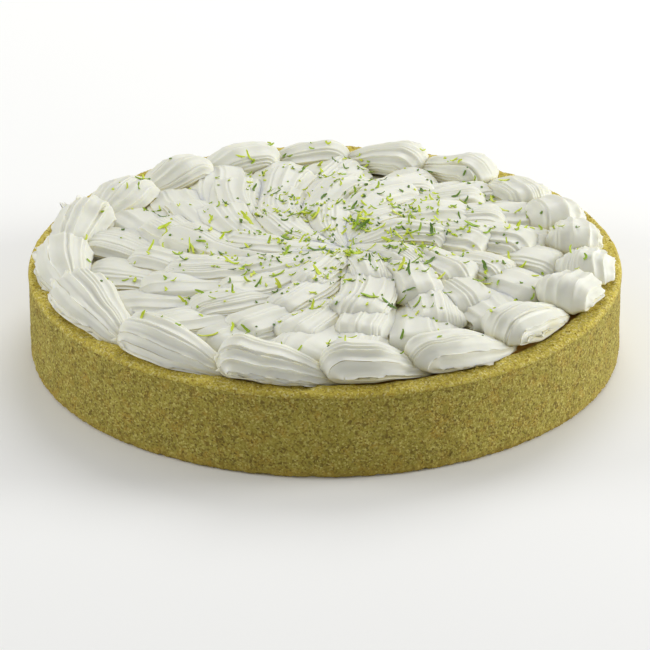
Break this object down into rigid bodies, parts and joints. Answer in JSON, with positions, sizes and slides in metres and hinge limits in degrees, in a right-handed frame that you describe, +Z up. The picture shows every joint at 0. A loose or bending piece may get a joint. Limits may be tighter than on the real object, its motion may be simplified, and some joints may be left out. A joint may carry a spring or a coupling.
{
  "type": "lemon pie",
  "caption": "Round uncut lemon pie: straight-sided shortcrust shell, set lemon filling, and whipped cream piped in shells and swirls with scattered green zest.",
  "frame": {"origin": "centre of the crust's flat underside", "axes": "+Z up through the middle of the pie; +X to the right and -Y towards the picture's camera"},
  "size_m": [0.254, 0.2539, 0.0543],
  "materials": {
    "shortcrust": "baked golden shortcrust, sandy and dry",
    "lemon_cream": "set lemon cream, smooth and moist",
    "whipped_cream": "piped whipped cream, soft satin"
  },
  "bodies": {
    "root": {"crust": "shortcrust", "lemon_filling": "lemon_cream", "piped_cream": "whipped_cream"}
  },
  "joints": []
}
